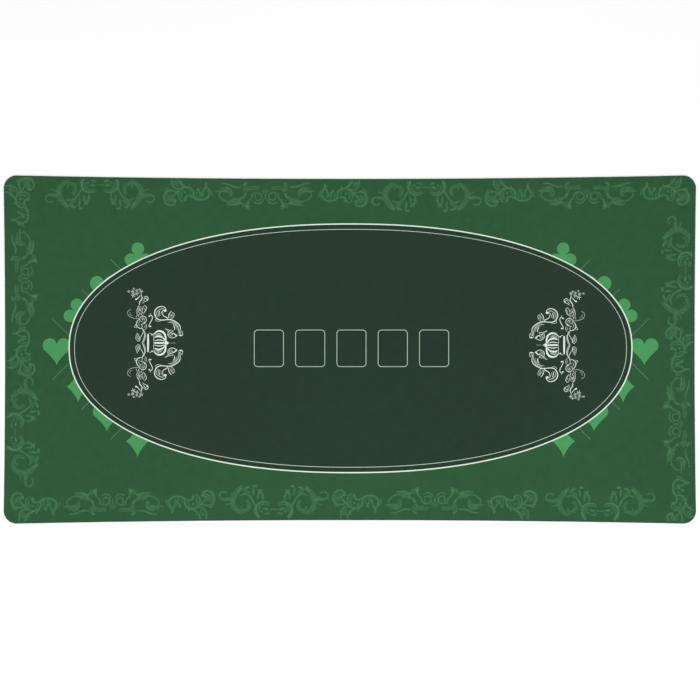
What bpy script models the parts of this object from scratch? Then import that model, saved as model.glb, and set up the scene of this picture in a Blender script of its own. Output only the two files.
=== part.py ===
"""A roll-out poker mat: a printed cloth face bonded with a glue film to a foam rubber base.

The mat lies flat. Its origin is the middle of its underside, with X along its length,
Y across it and Z up. Every size is in metres.
"""

import math

import bpy
from mathutils import Vector

# The whole mat, measured over the rubber's cut edge
MAT_LENGTH = 1.800
MAT_WIDTH = 0.905
CORNER_RADIUS = 0.033
# How far the middle of an edge lies inside its two ends, where the bonded cloth draws it in
LONG_EDGE_BOW = 0.0090
SHORT_EDGE_BOW = 0.0035

# The layers, from the underside up, and the clearance between one and the next
RUBBER_THICKNESS = 0.0021
FILM_THICKNESS = 0.0001
CLOTH_THICKNESS = 0.0004
LAYER_GAP = 0.0002

# The cut edge: the rubber's rounding, how far the cloth stops short of that rounding, and how
# far the glue film stops short of the cloth's edge
CUT_EDGE_ROUND = 0.0008
CLOTH_SETBACK = 0.0004
FILM_SETBACK = 0.0018

# How far each layer's outline lies inside the mat's cut edge
CLOTH_INSET = CUT_EDGE_ROUND + CLOTH_SETBACK
FILM_INSET = CLOTH_INSET + FILM_SETBACK

# The height of each layer's underside
FILM_BASE = RUBBER_THICKNESS + LAYER_GAP
CLOTH_BASE = FILM_BASE + FILM_THICKNESS + LAYER_GAP

# How finely round stretches are divided
OUTLINE_STEPS = 14
ROUND_STEPS = 1

# Length of a Bezier handle that follows a quarter circle, as a share of its radius
QUARTER_HANDLE = 4 / 3 * (math.sqrt(2) - 1)

MAT_COLLECTION = "poker_mat"


def clear_scene():
    """Remove every object that the file opened with."""
    for obj in list(bpy.data.objects):
        bpy.data.objects.remove(obj, do_unlink=True)


def make_collection(name):
    """A new collection in the scene for the mat's parts."""
    collection = bpy.data.collections.new(name)
    bpy.context.scene.collection.children.link(collection)
    return collection


def make_material(name, colour, roughness):
    """A plain Principled material of a substance that holds no metal."""
    material = bpy.data.materials.new(name)
    material.use_nodes = True
    shader = material.node_tree.nodes["Principled BSDF"]
    shader.inputs["Base Color"].default_value = (*colour, 1.0)
    shader.inputs["Roughness"].default_value = roughness
    shader.inputs["Metallic"].default_value = 0.0
    material.diffuse_color = (*colour, 1.0)
    return material


def rubber_material():
    """Black natural foam rubber."""
    return make_material("black_foam_rubber", (0.018, 0.018, 0.019), 0.85)


def film_material():
    """Milky hot-melt glue film."""
    return make_material("glue_film", (0.75, 0.74, 0.70), 0.45)


def cloth_material():
    """Dark green printed polyester."""
    return make_material("printed_polyester", (0.032, 0.095, 0.042), 0.80)


def outline_anchors(inset):
    """The outline's eight corner-arc ends, counter-clockwise, as (left handle, point, right handle).

    Each edge is one Bezier span: with both handles a third of the way along it and 4/3 of the
    bow inwards, its middle lies the bow's depth inside its ends. Each corner is a quarter circle.
    """
    half_length = MAT_LENGTH / 2 - inset
    half_width = MAT_WIDTH / 2 - inset
    radius = CORNER_RADIUS - inset
    long_run = half_length - radius
    short_run = half_width - radius
    edges = (
        (Vector((0, 1, 0)), short_run, half_length, SHORT_EDGE_BOW),
        (Vector((-1, 0, 0)), long_run, half_width, LONG_EDGE_BOW),
        (Vector((0, -1, 0)), short_run, half_length, SHORT_EDGE_BOW),
        (Vector((1, 0, 0)), long_run, half_width, LONG_EDGE_BOW),
    )
    anchors = []
    for along, half_run, reach, bow in edges:
        outward = Vector((along.y, -along.x, 0))
        start = outward * reach - along * half_run
        end = outward * reach + along * half_run
        arc_handle = along * radius * QUARTER_HANDLE
        edge_handle = along * half_run * 2 / 3
        dip = outward * bow * 4 / 3
        anchors.append((start - arc_handle, start, start + edge_handle - dip))
        anchors.append((end - edge_handle - dip, end, end + arc_handle))
    return anchors


def make_layer(name, material, collection, inset, base_z, thickness, edge_round=0.0):
    """A flat sheet with the mat's outline, stopping inset short of the mat's cut edge."""
    curve = bpy.data.curves.new(name, "CURVE")
    curve.dimensions = "2D"
    curve.fill_mode = "BOTH"
    curve.resolution_u = OUTLINE_STEPS
    curve.extrude = thickness / 2 - edge_round
    curve.bevel_depth = edge_round
    curve.bevel_resolution = ROUND_STEPS
    curve.offset = -edge_round
    anchors = outline_anchors(inset)
    spline = curve.splines.new("BEZIER")
    spline.use_cyclic_u = True
    spline.bezier_points.add(len(anchors) - 1)
    for point, (left, middle, right) in zip(spline.bezier_points, anchors):
        point.handle_left_type = "FREE"
        point.handle_right_type = "FREE"
        point.co = middle
        point.handle_left = left
        point.handle_right = right
    curve.materials.append(material)
    layer = bpy.data.objects.new(name, curve)
    layer.location.z = base_z + thickness / 2
    collection.objects.link(layer)


def build_rubber_base(collection):
    """The foam rubber that lies on the table, with its cut edges rounded over."""
    make_layer(
        "rubber_base",
        rubber_material(),
        collection,
        inset=0.0,
        base_z=0.0,
        thickness=RUBBER_THICKNESS,
        edge_round=CUT_EDGE_ROUND,
    )


def build_adhesive_film(collection):
    """The glue film between the rubber and the cloth."""
    make_layer(
        "adhesive_film",
        film_material(),
        collection,
        inset=FILM_INSET,
        base_z=FILM_BASE,
        thickness=FILM_THICKNESS,
    )


def build_printed_cloth(collection):
    """The cloth that cards and chips are played on."""
    make_layer(
        "printed_cloth",
        cloth_material(),
        collection,
        inset=CLOTH_INSET,
        base_z=CLOTH_BASE,
        thickness=CLOTH_THICKNESS,
    )


def build_mat():
    """Make the whole mat in its own collection."""
    clear_scene()
    collection = make_collection(MAT_COLLECTION)
    build_rubber_base(collection)
    build_adhesive_film(collection)
    build_printed_cloth(collection)


build_mat()
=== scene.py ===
"""A roll-out poker mat: knitted cloth with its print, bonded to foam rubber, lying on a pale floor.

The cloth and the rubber are closed surfaces carried round the mat's outline. The print is drawn
the way an engraver draws it, as pen strokes of changing width, and each ink is a thin film that
lies in the top third of a millimetre of the mat. Lengths in the motifs are millimetres.
"""

import math

import bpy
import numpy as np
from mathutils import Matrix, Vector


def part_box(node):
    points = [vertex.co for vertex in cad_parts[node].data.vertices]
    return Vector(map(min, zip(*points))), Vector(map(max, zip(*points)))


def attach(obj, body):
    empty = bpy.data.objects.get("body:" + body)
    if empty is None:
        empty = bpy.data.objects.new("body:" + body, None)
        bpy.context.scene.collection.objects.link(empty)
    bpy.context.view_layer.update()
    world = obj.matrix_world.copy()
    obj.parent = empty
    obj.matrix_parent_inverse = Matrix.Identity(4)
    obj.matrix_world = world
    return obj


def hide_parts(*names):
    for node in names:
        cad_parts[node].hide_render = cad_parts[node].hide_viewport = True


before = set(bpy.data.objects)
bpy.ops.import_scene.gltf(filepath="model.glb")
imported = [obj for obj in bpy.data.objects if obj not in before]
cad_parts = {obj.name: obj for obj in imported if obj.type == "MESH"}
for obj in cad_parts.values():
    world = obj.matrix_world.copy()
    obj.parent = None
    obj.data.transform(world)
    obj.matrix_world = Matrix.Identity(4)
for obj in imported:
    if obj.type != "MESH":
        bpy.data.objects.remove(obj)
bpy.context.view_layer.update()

MM = 0.001
RNG_SEED = 20

# The mat, from the solids it is built round
CLOTH_LOW, CLOTH_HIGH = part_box("printed_cloth")
RUBBER_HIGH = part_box("rubber_base")[1]
FILM_LOW, FILM_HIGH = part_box("adhesive_film")
HALF_LENGTH = RUBBER_HIGH[0]
HALF_WIDTH = RUBBER_HIGH[1]
TOP = CLOTH_HIGH[2]
CORNER_RADIUS = 33 * MM

# Heights inside the top of the mat, from the bare cloth up. Strokes of one ink that may cross lie in
# a stack of STACK_SIZE levels, so each ink has its own band of heights, and all reach into the cloth
CLOTH_TOP = TOP - 0.30 * MM
INK_BASE = CLOTH_TOP - 0.03 * MM
BODY_INK_TOP = TOP - 0.235 * MM
FIELD_INK_TOP = TOP - 0.17 * MM
OVAL_TOP = TOP - 0.09 * MM
SHADE_INK_TOP = TOP - 0.065 * MM
CARD_GROUND_TOP = TOP - 0.03 * MM
STACK_STEP = 0.0043 * MM
STACK_SIZE = 14

# The print's own centre, which the cut edge misses by a few millimetres
PRINT_CENTRE = complex(1.8, 3.3)

# The betting oval: half sizes, roundness, and the two lines round it
OVAL_HALF = (731.7, 323.3)
OVAL_POWER = 2.2
OVAL_LINE_WIDTH = 3.1
OVAL_LINE_GAP = 14.0
OVAL_INNER_LINE_WIDTH = 1.2

# The five card boxes
CARD_COUNT = 5
CARD_BOX = (75.9, 95.2)
CARD_PITCH = 107.4
CARD_CORNER = 9.0
CARD_LINE_WIDTH = 1.9
CARD_ROW_SHIFT = 2.4

# The argyle lattice that the suits sit in
LATTICE_OUTER = complex(775, 79)
LATTICE_STEP = complex(-75.5, 77.5)
LATTICE_COUNT = 3
LATTICE_LINE_LENGTH = 70
LATTICE_LINE_WIDTH = 1.1
LATTICE_SHIFT = -2.8j

# Where each crest's crown stands from the print's centre
LEFT_CREST = complex(-526.8, 14)
RIGHT_CREST = complex(555.8, 8.3)

# Rings of the cloth and the rubber that lie well inside their edges, as distances from the cut edge
FIRST_RING = 12 * MM
LAST_RING = 28 * MM

# How far the cut edges wander from the true outline, and how fast that dies away inwards
CLOTH_WANDER = 0.12 * MM
RUBBER_WANDER = 0.06 * MM
WANDER_FADE = 4 * MM

# Printed strokes end this far inside the cloth's edge
PRINT_MARGIN = 0.6

# Ink and cloth colours, as reflectances
FIELD_GREEN = (0.0221, 0.0822, 0.0329)
BORDER_GREEN = (0.0489, 0.1560, 0.0677)
BORDER_BODY = (0.0306, 0.1081, 0.0442)
SUIT_GREEN = (0.0602, 0.2726, 0.0921)
LATTICE_GREEN = (0.1034, 0.2538, 0.1222)
OVAL_GREEN = (0.0162, 0.0352, 0.0202)
CARD_GROUND = (0.0150, 0.0301, 0.0221)
LINE_WHITE = (0.67, 0.80, 0.68)
FINE_WHITE = (0.56, 0.70, 0.57)
CARD_LINE = (0.36, 0.47, 0.39)
CREST_WHITE = (0.66, 0.75, 0.68)
CREST_SHADE = (0.0489, 0.0705, 0.0564)

# Camera and lights
LENS = 85.0
SENSOR = 36.0
VIEW_WIDTH = 1.8201
VIEW_CENTRE = (0.0004, -0.0011)
FLOOR_SIZE = 16
FLOOR_DROP = 0.05 * MM
BACKDROP_STRENGTH = 0.86
LAMP_PLACE = (0.1, -2.0, 3.1)
LAMP_SIZE = 3.0
LAMP_WATTS = 60.0


# ---------------------------------------------------------------- pen strokes


def running_sum(values):
    """The integral of evenly spaced values over a way of length one, by trapeziums, from zero."""
    steps = (values[1:] + values[:-1]) / (2 * (len(values) - 1))
    return np.concatenate([[0], np.cumsum(steps)])


def curl(start, heading, length, bend, stations):
    """A path that sets off at heading degrees and turns evenly, by bend degrees over its length."""
    angle = np.radians(heading + bend * np.linspace(0, 1, stations))
    return start + length * running_sum(np.exp(1j * angle))


def flow(points, per_span=7):
    """A path through points: between two of them it is the cubic whose slope at each point is half
    the way from the point before to the point after (a Catmull-Rom curve).
    """
    p = np.asarray(points, complex)
    p = np.concatenate([[2 * p[0] - p[1]], p, [2 * p[-1] - p[-2]]])
    t = np.linspace(0, 1, per_span, endpoint=False)[:, None]
    a, b, c, d = p[:-3], p[1:-2], p[2:-1], p[3:]
    slope_in, slope_out = (c - a) / 2, (d - b) / 2
    cubic = (
        b
        + slope_in * t
        + (3 * (c - b) - 2 * slope_in - slope_out) * t**2
        + (2 * (b - c) + slope_in + slope_out) * t**3
    )
    return np.append(cubic.T.ravel(), p[-2])


def direction(path):
    """The unit direction at each station of a path."""
    slope = np.gradient(path)
    return slope / np.maximum(np.abs(slope), 1e-9)


def beside(path, distance):
    """A path moved sideways to its left by a distance, which may change along it."""
    return path + 1j * direction(path) * distance


def stroke(path, root, belly=None, tip=None):
    """A pen stroke as its (left, right) edges. Its full width is the quadratic curve that starts at
    root, is pulled towards belly and ends at tip.
    """
    way = np.linspace(0, 1, len(path))
    belly = root if belly is None else belly
    tip = root if tip is None else tip
    half = (root * (1 - way) ** 2 + 2 * belly * way * (1 - way) + tip * way**2) / 2
    return beside(path, half), beside(path, -half)


def disc(centre, radius, stations=14):
    """A round dot, as a stroke across it whose half width is the circle's height."""
    angle = np.linspace(0.08, math.pi - 0.08, stations)
    across = centre - radius * np.cos(angle)
    return across + 1j * radius * np.sin(angle), across - 1j * radius * np.sin(angle)


def ring(centre, radius, width):
    """A circle drawn with an even line."""
    return stroke(curl(centre + radius, 90, 2 * math.pi * radius, 360, 32), width)


def petal(start, heading, length, breadth, bend=0.0, stations=16):
    """A filled leaf, pointed at both ends, along a bent rib."""
    return stroke(curl(start, heading, length, bend, stations), 0.15, breadth, 0.15)


def mirrored(marks):
    """The same strokes reflected in the upright axis."""
    return [(-left.conj(), -right.conj()) for left, right in marks]


def turned(marks, turn, shift=0j):
    """The same strokes turned by a unit complex number and moved."""
    return [(left * turn + shift, right * turn + shift) for left, right in marks]


def flipped(marks):
    """The same strokes reflected in the level axis."""
    return [(left.conj(), right.conj()) for left, right in marks]


def thinner(marks, share):
    """The same strokes with a share of their width."""
    slim = []
    for left, right in marks:
        middle = (left + right) / 2
        slim.append((middle + (left - middle) * share, middle + (right - middle) * share))
    return slim


def margined(marks, margin):
    """The same strokes with a margin of even width added on both sides."""
    wide = []
    for left, right in marks:
        outward = (left - right) / np.maximum(np.abs(left - right), 1e-9) * margin
        wide.append((left + outward, right - outward))
    return wide


def uncrossed(left, right):
    """The edges of a stroke, drawn in wherever it bends more tightly than half its width: there the
    half width becomes nine tenths of the bend's radius, which is the step over the change of angle.
    """
    middle, half = (left + right) / 2, (left - right) / 2
    turn = np.abs(np.gradient(np.unwrap(np.angle(direction(middle)))))
    radius = np.abs(np.gradient(middle)) / np.maximum(turn, 1e-6)
    share = np.minimum(1, 0.9 * radius / np.maximum(np.abs(half), 1e-9))
    return middle + half * share, middle - half * share


# ---------------------------------------------------------------- border motifs
# x runs along the mat's edge and y inwards from the print's rim, in millimetres. Each motif is two
# sets of marks: the soft bodies of its leaves, and the brighter pen lines over them.


def pen(points, root, belly=None, tip=None):
    """A pen stroke along the smooth path through these points."""
    return stroke(flow(points), root, belly, tip)


def veins(points, offsets, width):
    """Fine pen lines that run beside a path, each at its own distance from it."""
    path = flow(points)
    return [stroke(beside(path, offset)[4:-6], 0.4, width, 0.3) for offset in offsets]


def feathers(points, count, reach, lean, width):
    """Curved leaf tips along one side of a path, at even steps: each leaves it at lean degrees, to
    the left where lean is positive, and they are longest half way along.
    """
    path = flow(points)
    ahead = np.degrees(np.angle(direction(path)))
    marks = []
    for share in np.linspace(0.06, 0.94, count):
        at = round(share * (len(path) - 1))
        length = reach * (0.55 + 0.45 * math.sin(math.pi * share))
        marks.append(petal(path[at], ahead[at] + lean, length, width, -lean, 7))
    return marks


def inked(body, lines):
    """A motif's two inks: its bodies with a soft margin under every line, and the finer lines."""
    return body + margined(lines, SOFT_MARGIN), thinner(lines, LINE_SHARE)


SOFT_MARGIN = 1.5
LINE_SHARE = 0.7


def volute_pair():
    """The broad border motif: two acanthus scrolls that spring from stems by the rim, each with a
    hooked horn at its outer end and a fringe of leaf tips below, and a bridge between them.
    """
    curled_leaf = [70 + 40j, 64 + 29j, 66 + 17j, 76 + 10j]
    outer_leaf = [74 + 9j, 87 + 8j, 99 + 16j, 106 + 29j, 105 + 43j, 99 + 55j, 90 + 65j, 83 + 71j]
    horn = [104 + 38j, 116 + 42j, 127 + 41j, 137 + 43j, 141 + 50j, 137 + 58j, 129 + 60j, 121 + 57j]
    stem = [48 + 26j, 55 + 38j, 61 + 47j, 69 + 53j, 78 + 54j, 87 + 50j]
    body = [
        pen(curled_leaf, 7, 15, 6), pen(outer_leaf, 6, 25, 8), pen(horn, 15, 5, 3),
        pen(stem, 5, 8, 3), pen([104 + 33j, 116 + 29j, 129 + 25j], 9, 5, 0.3),
        pen([60 + 57j, 69 + 60j, 78 + 66j, 89 + 68j], 3, 17, 3),
        pen([42 + 38j, 41 + 48j, 38 + 60j], 2, 9, 4), pen([30 + 14j, 34 + 22j, 24 + 30j], 3, 8, 2),
    ]
    scroll = [34 - 12j, 41 - 2j, 46 + 7j, 47 + 16j, 44 + 25j, 37 + 31j, 27 + 34j, 17 + 33j, 9 + 28j]
    lines = [
        pen(scroll, 9, 8, 1),
        pen([36 + 8j, 39 + 16j, 36 + 24j, 29 + 28j, 20 + 28j, 12 + 24j], 0.8, 2.6, 0.6),
        pen(stem, 4, 3.4, 1.4), *veins(curled_leaf, (-1.6, 1.6), 1.8),
        *veins(outer_leaf, (-3.0, 0.4, 3.6), 2.2), *feathers(outer_leaf, 17, 16, -42, 2.2),
        *feathers(outer_leaf, 13, 12, 38, 2.0), *feathers(curled_leaf, 8, 11, 44, 1.9),
        *feathers(curled_leaf, 8, 10, -44, 1.9), *feathers(stem, 8, 8, 40, 1.5),
        *feathers(horn, 8, 7, -36, 1.5), pen([92 + 58j, 89 + 65j, 83 + 71j], 5, 10, 4),
        pen([73 + 17j, 78 + 13j, 84 + 17j, 83 + 23j], 1, 2.4, 1.2), pen(horn, 4, 2.0, 2.2),
        *veins(horn[:4], (-3.4, 3.6), 1.8), pen([105 + 34j, 116 + 30j, 127 + 26j], 1, 2.6, 0.3),
        pen([77 + 66j, 70 + 72j, 62 + 72j], 4, 8, 2), pen([60 + 57j, 66 + 60j, 72 + 67j], 1, 3, 1),
        pen([66 + 56j, 74 + 60j, 80 + 66j], 0.8, 2.4, 0.8),
        pen([53 + 51j, 52.5 + 61j, 55 + 70j], 2, 6, 3),
        pen([54 + 73j, 49 + 76j, 43 + 75j], 5, 8, 3),
        pen([41 + 41j, 41.5 + 49j, 40 + 57j], 1.4, 5, 2),
        pen([41 + 56j, 36 + 60j, 31 + 67j], 3, 9, 2),
        pen([35 + 60j, 31 + 57.4j, 26.6 + 56.6j], 3.4, 3, 1.4),
        pen([35 + 59j, 39 + 63j, 41 + 67j], 5, 4, 1.6),
        pen([31 + 36j, 28 + 44j, 30 + 52j, 34 + 58j], 1.6, 2.6, 2.4), ring(28.6 + 49j, 2.6, 1.6),
        pen([10 + 8j, 16 + 4j, 25 + 5j], 1.4, 6, 1.6),
        pen([13 + 16j, 20 + 15.5j, 27 + 18j], 2, 9, 2), disc(30.5 + 9.5j, 2.6),
        stroke(np.linspace(0, 10, 8) + 15j, 1.8),
    ]
    return inked(body + mirrored(body), lines + mirrored(lines))


def cartouche():
    """The open border motif: an end scroll with a spur, a long S line above it and leaf strands
    below, an upright leaf, and a chain of loops round a short bar in the middle.
    """
    scroll = [114 + 27j, 103 + 22j, 94 + 26j, 91 + 37j]
    body = [
        pen(scroll, 6, 20, 8), pen([57 + 41j, 70 + 46j, 86 + 45j], 3, 11, 3),
        pen([60 + 57j, 74 + 57j, 92 + 58j], 4, 14, 3),
        pen([49 + 11j, 51 + 19j, 50 + 28j], 7, 17, 4), pen([50 + 56j, 57 + 62j, 54 + 70j], 2, 7, 2),
        pen([17 + 18j, 29 + 17.5j, 42 + 18.5j], 4, 9, 4),
    ]
    lines = [
        pen([115 + 6j, 103 + 6.5j, 92 + 10j, 82 + 14j, 72 + 15.5j, 62 + 14j], 1.4, 6.4, 1.4),
        pen([47 + 4j, 52 + 7j, 58 + 12j], 3, 7, 3),
        pen([45 + 13j, 44 + 21j, 49 + 27j], 0.8, 2.4, 0.8),
        pen([56 + 14j, 57 + 21j, 52 + 28j], 0.8, 2.4, 0.8),
        pen([50 + 12j, 51 + 26j], 0.8, 2.2, 0.6),
        pen([16 + 15j, 28 + 14j, 42 + 15.5j], 0.6, 2.6, 0.6),
        pen([16 + 21j, 28 + 20.5j, 42 + 22j], 0.6, 2.6, 0.6),
        pen([51 + 31j, 53.5 + 37j, 57 + 43j], 3, 10, 3),
        pen([56 + 42j, 63 + 44j, 69 + 49j], 2, 3, 1),
        pen([42.5 + 48j, 44 + 54j, 46 + 61j], 2.6, 4, 7), disc(47 + 65j, 6.0),
        pen([49 + 63j, 46 + 69j, 40 + 72j], 8, 7, 0.6),
        pen([53 + 57j, 59 + 62j, 54 + 71j], 1, 2.6, 1),
    ]
    chain = [42.4 + 50j, 37.8 + 47.6j, 34.8 + 41j, 31 + 32j, 20.4 + 30j, 12 + 34j]
    loop = [8.6 + 41j, 12 + 47j, 19.4 + 49.6j, 25.5 + 46j, 26.8 + 38j, 23.5 + 33j]
    lines += [
        pen(chain + loop, 1.8, 3.8, 1.4),
        pen([4.4 + 47j, 10 + 55j, 20.4 + 58j, 31 + 54j], 1.4, 4, 1.2),
        pen([0 + 27j, 4 + 29.5j, 6.6 + 34j], 1.8, 1.6, 0.8),
        pen([0 + 22j, 6 + 25j, 10 + 30j], 1, 1, 0.5),
        pen([130 + 26j, 118 + 26.5j, 106 + 26j, 98 + 28j], 0.6, 6, 3), disc(107 + 26j, 2.8),
        pen([110 + 20j, 101 + 15.5j, 91 + 19.5j, 86.5 + 30j, 88 + 38j], 0.8, 3, 0.8),
        pen([116 + 27j, 120 + 37j, 112 + 46.5j, 100 + 52.5j, 87 + 52j], 1.4, 3.6, 1.2),
        pen([120 + 22j, 112 + 18j, 103 + 21j], 0.5, 1.8, 0.6),
        *veins(scroll, (-5, -1.6, 2, 5.4), 2.2),
        pen([60 + 58j, 69 + 57.5j, 82 + 60.5j, 100 + 61j], 2, 9, 0.8), disc(69 + 57j, 3.6),
        pen([62 + 54j, 72 + 54j, 85 + 51.5j, 101 + 53.5j], 1, 5, 0.8),
        pen([68 + 57j, 66 + 51j, 69 + 45j], 2.4, 3, 1),
        pen([70 + 50j, 77 + 47j, 86 + 47.5j], 0.6, 2.4, 0.6), *feathers(scroll, 9, 11, 46, 1.8),
        *feathers(scroll, 8, 10, -46, 1.8),
        *feathers([58 + 55j, 72 + 55j, 94 + 57j], 8, 12, -24, 1.8),
        *feathers([56 + 45j, 66 + 47j, 86 + 49j], 7, 11, 22, 1.8),
        *feathers([52 + 9j, 51 + 20j, 50 + 29j], 5, 7, 50, 1.5),
        *feathers([92 + 12j, 80 + 14j, 64 + 14j], 5, 7, -30, 1.4),
    ]
    bar = [stroke(np.linspace(33, 47, 8) * 1j, 2.4, 4.4, 2.4)]
    return inked(body + mirrored(body), lines + mirrored(lines) + bar)


def leaf_knot():
    """The small border motif: a ball of leaves in a ring, a waved stem with a drop under its crest,
    a cup whose rim ends in a bud, and a bell of leaves that hangs from the rim.
    """
    body = [
        pen([-48 + 35j, -42 + 46j, -31 + 55j], 4, 20, 5),
        pen([-6 + 22j, -10 + 36j, -5 + 50j], 3, 13, 4),
        pen([35 + 26j, 44 + 36j, 50 + 43j], 4, 18, 4),
        pen([-25 - 1j, -23 + 8j, -19 + 17j], 12, 17, 4),
    ]
    ring_start = [-20.6 + 30j, -31.6 + 27j, -42 + 26.5j, -50.6 + 32j, -55 + 42j]
    ring_end = [-53 + 54j, -46 + 62j, -36.6 + 65j, -27.6 + 62j, -24 + 56j]
    lines = [
        pen(ring_start + ring_end, 3, 4.6, 3), disc(-25.6 + 52.4j, 4.4),
        pen([-20.6 + 32j, -28.6 + 38j, -32.6 + 45j, -29 + 52j], 3.4, 2.8, 2),
        pen([-53 + 31j, -47.6 + 21.5j, -39 + 24.5j, -30 + 27j], 1, 2.6, 1),
        pen([-46 + 34j, -50 + 43j, -46 + 54j], 0.8, 2.2, 0.8),
        pen([-44 + 40j, -39 + 47j, -30 + 51j], 2, 6, 1),
        pen([-46 + 50j, -38 + 54j, -28 + 55j], 0.8, 3, 1),
        pen([-40 + 35j, -37 + 40j, -33 + 43j], 0.6, 2, 0.6),
    ]
    crest_line = [-20.6 + 31j, -12.6 + 23j, -1.6 + 17.5j, 12.4 + 19j, 20.5 + 26j, 22.8 + 35j, 24 + 43j]
    cup_line = [28.4 + 48j, 38.4 + 50j, 50.4 + 49.5j, 59.5 + 44j, 63.5 + 36j, 60.4 + 24j, 54.5 + 13j]
    lines += [
        pen(crest_line + cup_line, 3.6, 4.6, 3.2), disc(2 + 17.5j, 3.4), disc(28.5 + 47.4j, 3.6),
        disc(-20.6 + 31j, 3.2), pen([58 + 19j, 54.5 + 12j, 56 + 5j], 3, 9, 1),
        pen([10.5 + 10j, 12.5 + 16j, 17 + 22j], 0.8, 3.4, 0.8),
        pen([58 + 18j, 68 + 29j, 71.4 + 38j], 0.8, 3, 0.8),
        pen([63 + 36j, 68 + 37.5j, 74 + 41j], 2.6, 2.4, 0.5),
        pen([28.4 + 47.6j, 18.4 + 42j, 8.4 + 40j, 2.6 + 43j, 1 + 50j], 4, 2.6, 6),
        disc(0.8 + 50j, 4.0),
        pen([-12.6 + 23j, -16.8 + 33j, -16.6 + 44j, -11.6 + 52j, -3.6 + 55j], 2, 3.2, 1.6),
        pen([-7.6 + 25j, -10 + 36j, -8.6 + 47j], 0.8, 2.6, 0.8), disc(0.4 + 30.6j, 3.0),
        pen([7 + 23j, 13 + 29j, 15 + 38j], 0.6, 2.2, 0.6), disc(34.4 + 24j, 3.6),
        pen([34.4 + 24j, 38.4 + 32j, 47 + 39j], 2.6, 3, 5),
        pen([55 + 17j, 49 + 25j, 46 + 38j], 3.6, 3, 2),
        pen([29 + 28j, 30.5 + 36j, 33 + 44j], 0.6, 2.4, 0.6),
        pen([38 + 35j, 39 + 41j, 42 + 46j], 0.6, 2, 0.6),
    ]
    bell = [-33 - 11j, -33.8 - 2j, -32.8 + 10j, -27.6 + 18j, -20.6 + 21.8j, -12.6 + 20j]
    lines += [
        pen(bell, 2.4, 3.8, 2),
        pen([-19 - 10j, -16 - 2j, -12.6 + 6j, -5.6 + 12j, 2.4 + 16.5j], 3, 6, 4),
        pen([-13 + 5j, -5 + 1j], 1, 3.4, 0.6), pen([-28 - 1j, -26 + 13j], 0.8, 2.2, 0.6),
        pen([-23 - 1j, -21 + 14j], 0.8, 2.6, 0.6),
        *feathers(ring_start[1:] + ring_end[:4], 13, 11, -52, 1.8),
        *feathers(crest_line, 8, 10, 52, 1.7), *feathers(cup_line, 10, 10, -50, 1.7),
        *feathers([-33 - 8j, -33 + 8j, -22 + 20j], 7, 8, 40, 1.6),
    ]
    return inked(body, lines)


# ---------------------------------------------------------------- crests
# x runs from the crown's bar towards the middle of the mat, y across it, in millimetres.


def crown_half():
    """Half of a plain crown lying on its side: base bar, stud and link, and a melon-ribbed cap whose
    rim thickens towards the top, with fine shading between its ribs.
    """
    marks = [
        pen([15.6 + 0j, 15.2 + 12j, 15.8 + 24j], 0.9, 1.3, 0.9),
        pen([3 + 24.4j, 6 + 25.4j, 10.4 + 22j, 15.6 + 23.4j], 0.8, 1.1, 0.9),
        disc(10.6 + 21.6j, 1.9),
    ]
    rim = [15.8 + 23j, 21.6 + 28.6j, 29.4 + 31j, 38 + 28.6j, 43.6 + 22.6j, 46 + 14j, 46.4 + 5j]
    marks += [
        pen(rim, 1.6, 7.6, 3.0),
        pen([17.4 + 14j, 22 + 15.8j, 28.4 + 16.6j, 36 + 15j, 41 + 11.6j, 45 + 5j], 1.8, 5.4, 2.4),
        pen([17.6 + 5.4j, 22 + 7.0j, 28.4 + 7.8j, 36 + 7j, 42.4 + 4.4j], 0.9, 3.6, 1.2),
    ]
    for level, reach in ((18.8, 37), (21.2, 38), (24.4, 37)):
        start = complex(18.5, level - 2.2)
        marks.append(pen([start, complex(28, level), complex(reach, level - 3.4)], 0.5, 1.9, 0.5))
    return marks


def crown():
    """The whole crown with its pointed ball and the fine line that runs out of it."""
    half = crown_half()
    axis = [
        stroke(np.linspace(-23.4, 23.4, 14) * 1j + 0.4, 3.4, 6.4, 3.4),
        pen([17 + 0j, 24 + 0j, 34 + 0j, 43.6 + 0j], 3.4, 6.4, 3.0), disc(48 + 0j, 4.7),
        pen([50 + 0j, 53 + 0j, 56.6 + 0j], 6.0, 2.4, 0.3),
        pen([59 + 0j, 66 + 0j, 73 + 0j], 0.3, 0.9, 0.3),
    ]
    return half + flipped(half) + axis


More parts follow.
